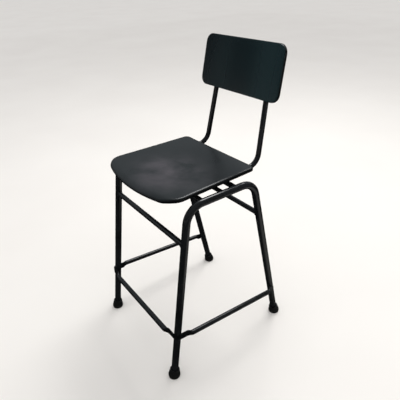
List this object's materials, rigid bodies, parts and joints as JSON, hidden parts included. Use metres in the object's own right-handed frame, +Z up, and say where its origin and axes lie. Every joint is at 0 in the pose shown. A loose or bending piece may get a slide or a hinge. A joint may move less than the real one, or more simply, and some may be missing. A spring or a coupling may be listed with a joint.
{
  "type": "drafting chair",
  "caption": "Fixed-height drafting chair: bent steel tube frame with a foot rail, moulded plywood seat and small leaning backrest, rubber ferrules.",
  "frame": {"origin": "point on the floor midway between the four feet, on the plane of symmetry", "axes": "+Z up; the sitter faces -Y, so the backrest is towards +Y; +X to the sitter's left; X = 0 is the plane of symmetry"},
  "size_m": [0.4446, 0.492, 0.9398],
  "materials": {
    "frame": "gloss black enamel over steel tube, slightly worn",
    "seat_ply": "moulded plywood in satin black lacquer, greyed by light and wear on top",
    "back_ply": "moulded plywood in satin black lacquer",
    "rubber": "matt black moulded rubber",
    "plug": "fine-textured black plastic",
    "zinc": "bright zinc-plated steel",
    "black_screw": "black zinc-plated steel screw heads"
  },
  "bodies": {
    "root": {"hoop_left": "frame", "hoop_right": "frame", "upright_left": "frame", "upright_right": "frame", "stretcher_front": "frame", "stretcher_rear": "frame", "cross_tube_front": "frame", "cross_tube_middle": "frame", "cross_tube_rear": "frame", "foot_rail": "frame", "seat": "seat_ply", "backrest": "back_ply", "ferrule_front_left": "rubber", "ferrule_front_right": "rubber", "ferrule_rear_left": "rubber", "ferrule_rear_right": "rubber", "washer_front_left": "zinc", "washer_front_right": "zinc", "washer_rear_left": "zinc", "washer_rear_right": "zinc", "plug_upright_top_left": "plug", "plug_upright_top_right": "plug", "plug_upright_front_left": "plug", "plug_upright_front_right": "plug", "seat_screw_front_left": "zinc", "seat_screw_front_right": "zinc", "seat_screw_rear_left": "zinc", "seat_screw_rear_right": "zinc", "back_screw_lower_left": "black_screw", "back_screw_lower_right": "black_screw", "back_screw_upper_left": "black_screw", "back_screw_upper_right": "black_screw"}
  },
  "joints": []
}
